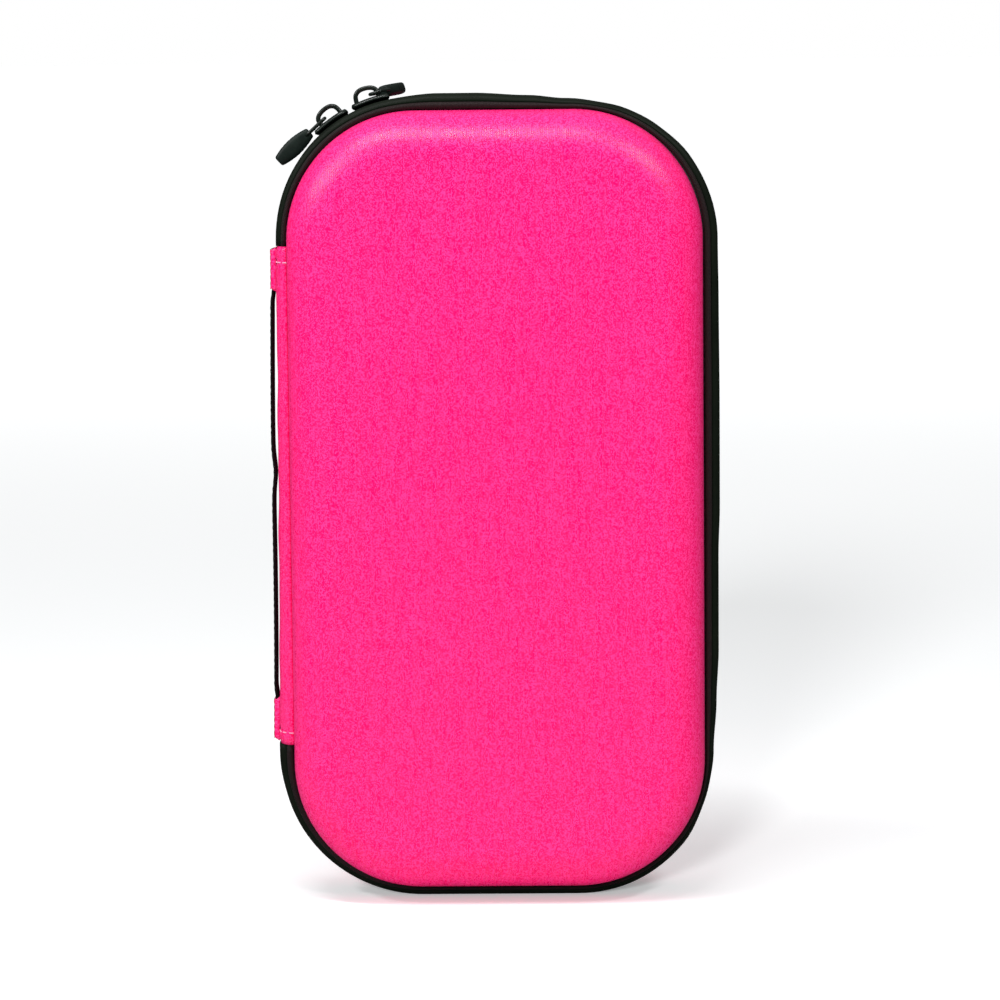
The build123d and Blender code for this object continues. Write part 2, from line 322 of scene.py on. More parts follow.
def make_cover(name, side, crowned, finish):
    """The moulded skin of one shell: rings up the wall, over the edge and in to the front's middle line."""
    points, cloth = [], []
    runs = rim_ring()
    middle = Vector(SHELL_MIDDLE)

    def drop(spot):
        return (spot - middle).length_squared / (2 * CROWN_RADIUS) if crowned else 0.0

    columns = []
    for run in runs:
        foot, out = rim_place(run)
        edge = foot - out * SHELL_EDGE
        profile = cover_profile(SHELL_DEPTH - drop(edge))
        column = [(foot - out * inset, depth) for inset, depth in profile]
        rim_spot = column[-1][0]
        length = 0.0
        spread = [rim_spot]
        for (near, near_depth), (far, far_depth) in zip(column[::-1], column[-2::-1]):
            length += math.hypot((near - far).length, near_depth - far_depth)
            spread.append(rim_spot + out * length)
        spread = spread[::-1]
        low, high = middle.y - MIDDLE_REACH, middle.y + MIDDLE_REACH
        target = Vector((middle.x, min(max(rim_spot.y, low), high)))
        for i in range(1, 15):
            spot = rim_spot.lerp(target, i / 14)
            column.append((spot, SHELL_DEPTH - drop(spot)))
            spread.append(spot)
        columns.append((column, spread))
    for row in range(len(columns[0][0])):
        for column, spread in columns:
            spot, depth = column[row]
            wave = 0.12 * math.sin(spot.x / 17 + 1.3) * math.sin(spot.y / 23 + 0.4)
            lift = wave * min(1, row / 20)
            points.append((spot.x, side * (depth + lift), spot.y))
            cloth.append((spread[row].x, spread[row].y))
    faces = grid_faces(len(columns[0][0]), len(columns), close_columns=True)
    return thicken(make_piece(name, points, faces, finish, cloth), COVER_THICK)


cover_knit = knit_finish("knit_cover", PINK)
for name, side, crowned, body in (("lid_skin", LID, True, "lid"), ("base_skin", BASE, False, "base")):
    skin = make_cover(name, side, crowned, cover_knit)
    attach(skin, body)
    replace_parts(skin, body + "_cover")

# ---------------------------------------------------------------------------------------
# Foam shells and linings.
# The shells are closed-cell foam, moulded hot between the cover and a brushed black lining.
# The foam's skin shows fine closed cells, and the lining has a short nap.


def foam_finish():
    finish = Finish("foam_cells", Specular_IOR_Level=0.3)
    spot = finish.place()
    sockets = {"Vector": spot, "Scale": 2.2}
    cells = finish.node("ShaderNodeTexVoronoi", {"feature": "F1"}, sockets, "Distance")
    drift = finish.noise(spot, 0.15)
    finish.colour(finish.blend(drift, (0.035, 0.035, 0.038), (0.065, 0.065, 0.07)))
    finish.rough(0.75 + drift * 0.15)
    finish.bump(cells, 0.12, 0.6)
    return finish.material


def lining_finish():
    finish = Finish("brushed_lining", Sheen_Weight=0.2, Sheen_Roughness=0.5, Specular_IOR_Level=0.15)
    spot = finish.place()
    nap = finish.noise(finish.place("Object", (2.5, 2.5, 1.2)), 1.0, 3.0, 0.7)
    drift = finish.noise(spot, 0.06)
    finish.colour(finish.blend(nap * 0.7 + drift * 0.4, (0.008, 0.008, 0.009), (0.034, 0.034, 0.037)))
    finish.rough(0.85 + nap * 0.1)
    finish.bump(nap, 0.2, 0.7)
    return finish.material


def dress(node, finish):
    """Give a CAD node its finish."""
    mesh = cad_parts[node].data
    mesh.materials.clear()
    mesh.materials.append(finish)


foam = foam_finish()
lining = lining_finish()
for node in ("lid_foam_shell", "base_foam_shell"):
    dress(node, foam)
for node in ("lid_lining", "base_lining"):
    dress(node, lining)

# ---------------------------------------------------------------------------------------
# Rim bindings, and the piping at the foot of each cover.
# The raw edge of the foam is bound with flat ribbed tape, sewn down all round.
# The piping is a cord in a folded strip, caught in the seam between cover and zip tape.

PIPING_RADIUS = 0.95
PIPING_STAND = 1.1
PIPING_DEPTH = 10.55
BINDING_SEAMS = (("inner", 3.9), ("outer", -0.4))
BINDING_SEAM_DEPTH = 6.36
BINDING_STITCH = (3.0, 2.3, 0.2)
BAND_STAND = 4.2
SPINE_LOW, SPINE_HIGH = 53.4, 224.2
OPEN_FIRST = SPINE_HIGH + 0.1 - (SHELL_MIDDLE[1] + SIDE_RUN / 2)
OPEN_LAST = RIM_LENGTH - SIDE_RUN + SPINE_LOW - 0.1 - (SHELL_MIDDLE[1] - SIDE_RUN / 2)
# Places round the rim, each with how far the soft band stands out of its line there.
BAND_DRIFT = [
    (0, -0.45), (22, -0.2), (36, 0.0), (62, 0.05), (76, 1.1), (89, 1.1), (107, 0.2), (120, -0.95),
    (130, -1.45), (140, -0.95), (151, -0.6), (164, 0.15), (192, 0.8), (212, 1.05), (245, 1.25),
    (282, 1.2), (300, 0.7), (332, 0.65), (350, -0.15), (367, -1.2), (377, -1.7), (385, -1.6),
    (400, -0.5), (425, 0.0), (500, 0.0), (548, 0.3), (563, 1.0), (650, 0.35), (738.2, -0.45),
]


def band_drift(run):
    """How far the soft band stands out of its drawn line, this far round the rim."""
    run = run % RIM_LENGTH
    for (near, low), (far, high) in zip(BAND_DRIFT, BAND_DRIFT[1:]):
        if run <= far:
            share = (run - near) / (far - near)
            return low + (high - low) * share * share * (3 - 2 * share)
    return BAND_DRIFT[-1][1]


def band_point(run, stand, depth, side):
    """A point of the band, with the band's drift growing from the wall's foot outwards."""
    foot, out = rim_place(run)
    spot = foot + out * (stand + band_drift(run) * min(1, max(0, stand) / BAND_STAND))
    return (spot.x, side * depth, spot.y)


def rim_runs(first, last, step):
    """Places round the rim from one to another, both included."""
    count = round((last - first) / step)
    return [first + (last - first) * i / count for i in range(count + 1)]


def piping_profile():
    """The round section of the cord."""
    section = []
    for i in range(14):
        turn = 2 * math.pi * i / 14
        stand = PIPING_STAND + PIPING_RADIUS * math.cos(turn)
        section.append((stand, PIPING_DEPTH + PIPING_RADIUS * math.sin(turn)))
    return section


def sweep_rim(name, profile, side, finish):
    """A section swept round the rim from one end of the spine to the other."""
    runs = rim_runs(OPEN_FIRST, OPEN_LAST, RIM_STEP)
    points = [band_point(run, stand, depth, side) for run in runs for stand, depth in profile]
    cloth = [(run, 10.0 * i / len(profile)) for run in runs for i in range(len(profile))]
    return make_piece(name, points, tube_faces(len(runs), len(profile)), finish, cloth)


def ribbed_finish(name, dark, pale, pitch, axis, rough):
    """Woven tape with fine ribs across it, along an axis or else along the piece's own length."""
    finish = Finish(name, Sheen_Weight=0.02, Sheen_Roughness=0.4, Specular_IOR_Level=0.1)
    spot = finish.place("UV" if axis is None else "Object")
    along = finish.axes(spot)[0 if axis is None else axis]
    ribs = (along * (2 * math.pi / pitch)).sine()
    fuzz = finish.noise(finish.place(), 2.0, 3.0, 0.65)
    finish.colour(finish.blend(fuzz * 0.8 + ribs * 0.15, dark, pale))
    finish.rough(rough + fuzz * 0.2)
    finish.bump(ribs * 0.5 + fuzz, 0.12, 0.6)
    return finish.material


binding_weave = ribbed_finish("binding_weave", (0.004, 0.004, 0.0045), (0.016, 0.016, 0.018), 0.7, 2, 0.6)
piping_weave = ribbed_finish("piping_cloth", (0.006, 0.003, 0.003), (0.026, 0.017, 0.018), 0.45, None, 0.4)
for side, body in ((LID, "lid"), (BASE, "base")):
    dress(body + "_rim_binding", binding_weave)
    cord = sweep_rim(body + "_edge_cord", piping_profile(), side, piping_weave)
    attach(cord, body)
    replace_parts(cord, body + "_piping")


def row_tree(name, sizes, draw):
    """Geometry nodes that lay one short form after another along a path, at a pitch.

    The form is a round thread on the line that draw makes from the sizes."""
    tree = bpy.data.node_groups.new(name, "GeometryNodeTree")
    sizes = ["Pitch", *sizes, "Thread Radius"]
    kinds = {"Path": "Geometry", **dict.fromkeys(sizes, "Float"), "Thread": "Material"}
    for label, kind in kinds.items():
        tree.interface.new_socket(label, in_out="INPUT", socket_type="NodeSocket" + kind)
    tree.interface.new_socket("Row", in_out="OUTPUT", socket_type="NodeSocketGeometry")
    given = {s.name: Flow(tree, s) for s in tree.nodes.new("NodeGroupInput").outputs}

    def add(kind, sockets=None, settings=None, output=None):
        return add_node(tree, kind, settings, sockets, output)

    line = add("GeometryNodeMeshToCurve", {0: given["Path"]})
    spaced = {"Curve": line, "Length": given["Pitch"]}
    line = add("GeometryNodeResampleCurve", spaced, {"mode": "LENGTH"})
    circle = {"Resolution": 6, "Radius": given["Thread Radius"]}
    ring = add("GeometryNodeCurvePrimitiveCircle", circle, output="Curve")
    shape = draw(tree, *[given[size] for size in sizes])
    form = add("GeometryNodeCurveToMesh", {"Curve": shape, "Profile Curve": ring, "Fill Caps": True})
    vector = {"data_type": "FLOAT_VECTOR"}
    out = add("GeometryNodeInputNamedAttribute", {"Name": "out"}, vector, "Attribute")
    axes = {"Primary Axis": add("GeometryNodeInputTangent"), "Secondary Axis": out}
    turn = add("FunctionNodeAxesToRotation", axes, {"primary_axis": "X", "secondary_axis": "Z"})
    laid = add("GeometryNodeInstanceOnPoints", {"Points": line, "Instance": form, "Rotation": turn})
    real = add("GeometryNodeRealizeInstances", {0: laid})
    done = add("GeometryNodeSetMaterial", {"Geometry": real, "Material": given["Thread"]})
    tree.links.new(done.socket, tree.nodes.new("NodeGroupOutput").inputs[0])
    return tree


def stitch_line(tree, pitch, length, radius):
    """One slack stitch, from hole to hole."""
    ends = [
        add_node(tree, "ShaderNodeCombineXYZ", None, {0: length * share, 1: 0.0, 2: radius * high})
        for share, high in ((-0.5, -0.6), (0.0, 2.4), (0.5, -0.6))
    ]
    sockets = {"Resolution": 6, "Start": ends[0], "Middle": ends[1], "End": ends[2]}
    return add_node(tree, "GeometryNodeCurveQuadraticBezier", None, sockets)


def grow(name, path, outs, tree, inputs):
    """Run a path, in millimetres, through geometry nodes and keep the plain mesh that comes out."""
    mesh = bpy.data.meshes.new(name)
    mesh.from_pydata([Vector(p) * MM for p in path], [(i, i + 1) for i in range(len(path) - 1)], [])
    way = mesh.attributes.new("out", "FLOAT_VECTOR", "POINT")
    way.data.foreach_set("vector", [v for out in outs for v in out])
    piece = add_object(name, mesh)
    nodes = piece.modifiers.new("grow", "NODES")
    nodes.node_group = tree
    named = {s.name: s.identifier for s in tree.interface.items_tree if s.in_out == "INPUT"}
    for key, value in inputs.items():
        nodes[named[key]] = value
    settle(piece)
    piece.data.shade_smooth()
    return piece


def sew(name, path, outs, stitch, thread):
    """A seam along a path. The stitch is its pitch, its length and its thread's radius."""
    pitch, length, radius = [size * MM for size in stitch]
    sizes = {"Pitch": pitch, "Stitch Length": length, "Thread Radius": radius, "Thread": thread}
    return grow(name, path, outs, stitch_row, sizes)


def thread_finish(name, base, sheen):
    finish = Finish(name, Sheen_Weight=sheen, Specular_IOR_Level=0.4)
    twist = finish.noise(finish.place("Object", (3, 3, 3)), 1.0, 2.0, 0.6)
    finish.colour(finish.blend(twist, tuple(c * 0.7 for c in base), base))
    finish.rough(0.45 + twist * 0.2)
    finish.bump(twist, 0.05, 0.5)
    return finish.material


stitch_row = row_tree("stitch_row", ["Stitch Length"], stitch_line)
black_thread = thread_finish("thread_black", (0.014, 0.014, 0.015), 0.0)
for side, body in ((LID, "lid"), (BASE, "base")):
    for row, inset in BINDING_SEAMS:
        path, outs = [], []
        for run in rim_runs(0.0, RIM_LENGTH, 3):
            foot, out = rim_place(run)
            spot = foot - out * inset
            path.append((spot.x, side * BINDING_SEAM_DEPTH, spot.y))
            outs.append((0, -side, 0))
        seam = sew(f"{body}_binding_seam_{row}", path, outs, BINDING_STITCH, black_thread)
        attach(seam, body)

# ---------------------------------------------------------------------------------------
# Zip: two woven tapes, a coil on the inner face of each, and stops at the coil's ends.
# The tapes bulge over the coil and curve round to the piping, so no teeth show outside.
# The coil is one thick monofilament, sewn on as a row of loops that mesh across the slit.

TAPE_THICK = 0.9
SLIT_HALF = 0.18
TAPE_TURN = 2.3
TAPE_FRONT = 9.5
COIL_PITCH = 1.6
COIL_STAND, COIL_DEPTH = 2.8, 2.1
COIL_WIDTH, COIL_HEIGHT = -2.5, 1.0
COIL_RADIUS = 0.5
COIL_END_GAP = 2.2


def tape_profile():
    """The tape's section: a fold at the slit, a full outer bulge, and a round turn to the piping."""
    outer = [(BAND_STAND - 0.55, SLIT_HALF), (BAND_STAND - 0.12, SLIT_HALF + 0.15)]
    for depth, stand in ((1.6, 0.02), (3.2, 0.08), (5.0, 0.06)):
        outer.append((BAND_STAND + stand, depth))
    turn_stand, turn_depth = BAND_STAND - TAPE_TURN, TAPE_FRONT - TAPE_TURN
    for i in range(8):
        angle = math.radians(86 * i / 7)
        outer.append((turn_stand + TAPE_TURN * math.cos(angle), turn_depth + TAPE_TURN * math.sin(angle)))
    inner = []
    thin = TAPE_TURN - TAPE_THICK
    for i in range(6):
        angle = math.radians(86 - 86 * i / 5)
        inner.append((turn_stand + thin * math.cos(angle), turn_depth + thin * math.sin(angle)))
    inner += [(BAND_STAND - TAPE_THICK, 4.0), (BAND_STAND - TAPE_THICK, SLIT_HALF + 0.3)]
    return outer + inner


def tape_finish():
    """Black herringbone tape with a soft shine where it bulges."""
    finish = Finish("zip_tape_weave", Specular_IOR_Level=0.08)
    run, across, _ = finish.axes(finish.place("UV"))
    spot = finish.place()
    _, depth, _ = finish.axes(spot)
    slope = (depth * (2 * math.pi / 2.4)).sine().size() * 1.2
    twill = ((run + slope) * (2 * math.pi / 0.5)).sine()
    fuzz = finish.noise(finish.place("Object", (1.6, 1.6, 1.6)), 1.0, 3.0, 0.6)
    worn = finish.noise(spot, 0.09, 1.0)
    finish.colour(finish.blend(fuzz * 0.7 + worn * 0.5, (0.0012, 0.002, 0.0012), (0.007, 0.011, 0.0065)))
    finish.rough(0.4 + fuzz * 0.14)
    finish.bump(twill * 0.35 + fuzz * 0.6, 0.05, 0.55)
    return finish.material


def coil_line(tree, pitch, width, height, radius):
    """One loop of the coil, out and back, leaning along the zip."""
    corners = []
    for lean, across, high in ((-0.25, 0.0, 0.0), (-0.15, 1.0, 0.1), (0.1, 1.0, 0.9), (0.25, 0.0, 1.0)):
        sockets = {0: pitch * lean, 1: width * across, 2: height * (0.0 - high)}
        corners.append(add_node(tree, "ShaderNodeCombineXYZ", None, sockets))
    sockets = dict(zip(("Start", "Start Handle", "End Handle", "End"), corners))
    return add_node(tree, "GeometryNodeCurvePrimitiveBezierSegment", None, {"Resolution": 7, **sockets})


def wire_finish():
    finish = Finish("coil_monofilament", Specular_IOR_Level=0.4)
    marks = finish.noise(finish.place(), 1.2, 2.0)
    finish.colour(finish.blend(marks, (0.004, 0.004, 0.0045), (0.014, 0.014, 0.015)))
    finish.rough(0.26 + marks * 0.16)
    finish.bump(marks, 0.03, 0.4)
    return finish.material


tape_weave = tape_finish()
coil_wire = wire_finish()
coil_loops = row_tree("zip_coil_loops", ["Loop Width", "Loop Height"], coil_line)
coil_sizes = {
    "Pitch": COIL_PITCH * MM, "Loop Width": COIL_WIDTH * MM, "Loop Height": COIL_HEIGHT * MM,
    "Thread Radius": COIL_RADIUS * MM, "Thread": coil_wire,
}
for side, body in ((LID, "lid"), (BASE, "base")):
    tape = sweep_rim(body + "_tape", tape_profile(), side, tape_weave)
    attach(tape, body)
    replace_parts(tape, body + "_zip_tape")
    shift = 0.0 if side == LID else COIL_PITCH / 2
    path, outs = [], []
    runs = rim_runs(OPEN_FIRST + COIL_END_GAP + shift, OPEN_LAST - COIL_END_GAP + shift, 2)
    for run in runs if side == BASE else runs[::-1]:
        path.append(band_point(run, COIL_STAND, COIL_DEPTH, side))
        out = rim_place(run)[1]
        outs.append((out.x, 0, out.y))
    coil = grow(body + "_coil", path, outs, coil_loops, coil_sizes)
    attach(coil, body)
    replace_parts(coil, body + "_zip_coil")
    dress(body + "_zip_stops", coil_wire)

# ---------------------------------------------------------------------------------------
# Spine: one strip of the knit round the hinge side, over a thin stiffener and a lining.
# Its long hems are tucked into the seams at both shells, and each end is turned in and sewn.
# It folds along two lines, so it is made in two halves that meet in the middle of the spine.

SPINE_SIDE_X = SHELL_MIDDLE[0] - TOP_RUN / 2 - SHELL_CORNER
FOLD_DEPTH, FOLD_REACH = 6.0, 1.1
FABRIC_THICK = 0.6
# Stand and depth of the strip's outer face, from the seam at the wall to the spine's middle.
SPINE_PROFILE = [
    (-0.2, 12.1), (0.2, 12.35), (0.75, 12.4), (1.4, 12.15), (2.2, 11.5), (3.0, 10.5), (3.65, 9.3),
    (4.05, 8.0),
]
SPINE_PROFILE += [(BAND_STAND, depth) for depth in (7.0, 6.4, 6.0, 5.6, 5.0, 4.0, 2.8, 1.4, 0.0)]
SPINE_SEAMS = (("lower", SPINE_LOW + 4.2), ("upper", SPINE_HIGH - 5.4))
SPINE_STITCH = (2.4, 1.9, 0.26)
SPINE_PINK = (0.93, 0.016, 0.185)


def spine_drift(height):
    """The spine leans out towards its foot, and its middle is drawn in."""
    share = (height - SPINE_LOW) / (SPINE_HIGH - SPINE_LOW)
    lean = 1.0 - 1.35 * share
    sunk = math.sin(math.pi * min(1, max(0, share))) ** 0.6
    ripple = 0.12 * math.sin(height / 6.1) + 0.08 * math.sin(height / 3.3 + 1)
    return lean - 0.3 * sunk + ripple * sunk


def face_outwards(skin, index):
    """Turn an open skin at the spine outwards, going by one of its faces."""
    if skin.data.polygons[index].normal.x > 0:
        skin.data.flip_normals()


def make_spine_half(name, side, finish):
    """Half of the strip, with creases, turned-in ends and a dent along each end's seam."""
    heights = [SPINE_LOW + (SPINE_HIGH - SPINE_LOW) * i / 100 for i in range(101)]
    rows = []
    for height in heights:
        end = min(height - SPINE_LOW, SPINE_HIGH - height)
        tuck = 0.55 * max(0, 1 - end / 1.5) ** 2
        dent = 0.3 * math.exp(-((end - 5.0) / 0.7) ** 2)
        row = []
        for index, (stand, depth) in enumerate(SPINE_PROFILE):
            share = min(1, stand / BAND_STAND)
            crease = 0.18 * math.sin(height / 4.3 + index * 0.25) * math.sin(math.pi * index / 16)
            out = stand + (spine_drift(height) - tuck - dent) * share
            deep = depth + (crease - (tuck + dent) * (1 if depth > 9 else 0)) * (1 if depth > 7.5 else 0)
            row.append((out, deep))
        rows.append(row)
    points = [(SPINE_SIDE_X - out, side * deep, z) for z, row in zip(heights, rows) for out, deep in row]
    cloth = [(side * deep + out, z) for z, row in zip(heights, rows) for out, deep in row]
    skin = make_piece(name, points, grid_faces(len(rows), len(SPINE_PROFILE)), finish, cloth)
    face_outwards(skin, len(skin.data.polygons) // 2 + 12)
    return thicken(skin, FABRIC_THICK)


def fold(piece):
    """Put a piece's place into its mesh."""
    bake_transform(piece)


spine_knit = knit_finish("knit_spine", SPINE_PINK)
pink_thread = thread_finish("thread_pink", (0.95, 0.28, 0.48), 0.4)
for side, shell in ((LID, "lid"), (BASE, "base")):
    half = make_spine_half(shell + "_spine_fabric", side, spine_knit)
    if side == LID:
        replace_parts(half, "lid_spine_wing", "spine_cover")
    else:
        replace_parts(half, "base_spine_wing")
    fold(half)
    for edge, height in SPINE_SEAMS:
        path, outs = [], []
        for (stand, depth), (near, near_depth) in zip(SPINE_PROFILE[2:], SPINE_PROFILE[1:]):
            share = min(1, stand / BAND_STAND)
            x = SPINE_SIDE_X - stand - (spine_drift(height) - 0.3) * share
            path.append((x, side * (depth - 0.1), height))
            slope = Vector((near - stand, near_depth - depth)).normalized()
            outs.append((-abs(slope.y), side * abs(slope.x), 0))
        seam = sew(f"{shell}_spine_seam_{edge}", path, outs, SPINE_STITCH, pink_thread)
        fold(seam)


def board_finish():
    finish = Finish("stiffener_board", Specular_IOR_Level=0.4)
    grain = finish.noise(finish.place("Object", (1, 1, 0.1)), 1.0, 2.0)
    finish.colour(finish.blend(grain, (0.2, 0.2, 0.2), (0.33, 0.33, 0.33)))
    finish.rough(0.5 + grain * 0.2)
    finish.bump(grain, 0.05, 0.4)
    return finish.material


def make_spine_layer(name, outer, thick, finish):
    """A flat layer behind the strip, which leans and sinks with it and stops short of its ends."""
    points = []
    short = 1.6
    for row in range(61):
        height = SPINE_LOW + short + (SPINE_HIGH - SPINE_LOW - 2 * short) * row / 60
        for across in (-1, -0.5, 0, 0.5, 1):
            points.append((SPINE_SIDE_X - outer - spine_drift(height), across * (FOLD_DEPTH - 0.15), height))
    layer = make_piece(name, points, grid_faces(61, 5), finish)
    face_outwards(layer, 0)
    layer = thicken(layer, thick)
    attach(layer, "spine")
    return layer


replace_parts(make_spine_layer("spine_board", 3.15, 0.8, board_finish()), "spine_stiffener")
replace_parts(make_spine_layer("spine_backing", 2.3, 0.4, lining), "spine_lining")

# ---------------------------------------------------------------------------------------
# Carry strap: flat black webbing along the spine, a little longer than the run it is sewn to.
# It stands off the spine between its ends, and touches it once where it was pressed down.
# A patch of the knit covers each end, sewn round its edge.

STRAP_HALF = 5.0
STRAP_THICK = 1.2
STRAP_LOW, STRAP_HIGH = SPINE_LOW + 1.0, SPINE_HIGH - 1.0
PATCH_LENGTH = 15.0
PATCH_HALF = 5.8
PATCH_THICK = 0.4
PATCH_STITCH = (2.2, 1.9, 0.08)
PATCH_TURN = 1.2
PATCH_SEAM_INSET = 0.9
PRESSED_HEIGHT = 146.5


def strap_stand(height):
    """Stand of the webbing's inner face: down at the patches, off the spine between, and pressed once."""
    end = min(height - STRAP_LOW, STRAP_HIGH - height)
    rise = min(1, max(0, (end - PATCH_LENGTH + 3) / 7))
    off = 0.4 + (0.75 + 0.2 * math.sin(height / 21)) * rise * rise * (3 - 2 * rise)
    pressed = math.exp(-((height - PRESSED_HEIGHT) / 5.5) ** 2)
    share = (height - SPINE_LOW) / (SPINE_HIGH - SPINE_LOW)
    return BAND_STAND + (0.75 - 1.1 * share) * rise + spine_drift(height) * (1 - rise) + off - 0.75 * pressed


def make_strap(finish):
    """Webbing with rolled edges, and a faint ripple from its thick cross threads."""
    rows, sides = 150, 12
    points, cloth = [], []
    section = []
    for i in range(sides):
        angle = 2 * math.pi * i / sides
        across = math.copysign(min(abs(math.cos(angle)) ** 0.35, 1), math.cos(angle)) * STRAP_HALF
        section.append((across, (math.sin(angle) * 0.5 + 0.5) * STRAP_THICK))
    for row in range(rows + 1):
        height = STRAP_LOW + (STRAP_HIGH - STRAP_LOW) * row / rows
        stand = strap_stand(height)
        for across, high in section:
            ripple = 0.07 * math.sin(height * 2 * math.pi / 2.7) if high > 0.5 else 0
            points.append((SPINE_SIDE_X - stand - high - ripple, across, height))
            cloth.append((height, across))
    return make_piece("strap_webbing", points, tube_faces(rows + 1, sides), finish, cloth)


def webbing_finish():
    """Flat webbing: rows of short cross threads, in lines down its length."""
    finish = Finish("strap_weave", Specular_IOR_Level=0.08)
    run, across, _ = finish.axes(finish.place("UV"))
    lines = (across * (2 * math.pi / 1.1)).sine()
    weave = (run * (2 * math.pi / 0.9) + lines * 1.4).sine()
    fuzz = finish.noise(finish.place(), 2.0, 3.0, 0.65)
    finish.colour(finish.blend(fuzz * 0.7 + weave * 0.2, (0.002, 0.002, 0.0022), (0.012, 0.011, 0.011)))
    finish.rough(0.5 + fuzz * 0.25)
    finish.bump(weave * 0.6 + lines * 0.4 + fuzz * 0.6, 0.14, 0.7)
    return finish.material


def make_patch(name, low, finish):
    """A small turned-in patch of the knit, pillowed over the webbing's end."""
    points, cloth = [], []
    rows, columns = 15, 13
    for row in range(rows):
        for column in range(columns):
            up, across = row / (rows - 1), 2 * column / (columns - 1) - 1
            edge = min(up, 1 - up) * PATCH_LENGTH
            rim = min(1, edge / PATCH_TURN, (1 - abs(across)) * PATCH_HALF / PATCH_TURN)
            height = low + up * PATCH_LENGTH
            stand = strap_stand(height) + STRAP_THICK + 0.1 + PATCH_THICK * (0.35 + 0.65 * rim ** 0.5)
            if column in (0, columns - 1) or row in (0, rows - 1):
                stand = BAND_STAND + spine_drift(height) + 0.2
            points.append((SPINE_SIDE_X - stand, across * PATCH_HALF, height))
            cloth.append((across * PATCH_HALF, height))
    patch = make_piece(name, points, grid_faces(rows, columns), finish, cloth)
    face_outwards(patch, len(patch.data.polygons) // 2)
    return thicken(patch, PATCH_THICK * 0.6)


strap = make_strap(webbing_finish())
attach(strap, "spine")
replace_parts(strap, "carry_strap")
dark_thread = thread_finish("thread_dark_pink", (0.2, 0.01, 0.03), 0.0)
for end, low in (("lower", SPINE_LOW + 0.5), ("upper", SPINE_HIGH - 0.5 - PATCH_LENGTH)):
    patch = make_patch("strap_patch_" + end, low, spine_knit)
    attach(patch, "spine")
    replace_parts(patch, "strap_end_cover_" + end)
    path, outs = [], []
    half, first, last = PATCH_HALF - PATCH_SEAM_INSET, PATCH_SEAM_INSET, PATCH_LENGTH - PATCH_SEAM_INSET
    corners = [(-half, first), (half, first), (half, last), (-half, last), (-half, first)]
    for (across, up), (next_across, next_up) in zip(corners, corners[1:]):
        for i in range(8):
            height = low + up + (next_up - up) * i / 8
            stand = strap_stand(height) + STRAP_THICK + 0.02 + PATCH_THICK
            path.append((SPINE_SIDE_X - stand, across + (next_across - across) * i / 8, height))
            outs.append((-1, 0, 0))
    seam = sew("strap_patch_seam_" + end, path, outs, PATCH_STITCH, dark_thread)
    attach(seam, "spine")

# ---------------------------------------------------------------------------------------
# Sliders, die-cast in zinc under black lacquer.
# On each a curved top plate rides over both tapes, and a wedge in the slit carries the plate
# under the base's coil. The bridge that the pull hangs in is cast on as an open arch.

ARC_MIDDLE = (SHELL_MIDDLE[0] - TOP_RUN / 2, SHELL_MIDDLE[1] + SIDE_RUN / 2)
PLATE_INNER = SHELL_CORNER + BAND_STAND + 0.2
PLATE_OUTER = PLATE_INNER + 2.0
SLIDER_HALF, SLIDER_WIDE = 6.5, 4.3
UNDER_HALF, WEDGE_HALF = 4.5, 3.5
POST_X = -3.15
LEFT_ANGLE, RIGHT_ANGLE = 125.6, 108.0


def lacquer_finish():
    """Black lacquer with an orange-peel skin, dulled in places by handling."""
    finish = Finish("slider_lacquer", Specular_IOR_Level=0.3, Coat_Weight=0.22, Coat_Roughness=0.18)
    spot = finish.place()
    peel = finish.noise(spot, 0.9, 2.0)
    worn = finish.noise(spot, 0.25, 3.0, 0.6)
    finish.colour(finish.blend(worn, (0.001, 0.002, 0.0016), (0.009, 0.015, 0.011)))
    finish.rough(0.24 + worn * 0.22)
    finish.bump(peel, 0.06, 0.4)
    return finish.material


def on_arc(point, angle, mirrored):
    """Move a point drawn at the top of the corner's arc to an angle on it."""
    x, y, z = point
    x = -x if mirrored else x
    turn = math.radians(90 - angle)
    across = x * math.cos(turn) + z * math.sin(turn)
    up = z * math.cos(turn) - x * math.sin(turn)
    return (ARC_MIDDLE[0] + across, y, ARC_MIDDLE[1] + up)


def bent(along, deep, high):
    """A point of a curved plate, from its place along the arc and its distance from the middle."""
    angle = along / PLATE_INNER
    return (high * math.sin(angle), deep, high * math.cos(angle))


def loft(sections, move):
    """Points and faces of a closed form through rings of the same number of points."""
    points = [move(point) for section in sections for point in section]
    return points, tube_faces(len(sections), len(sections[0]))


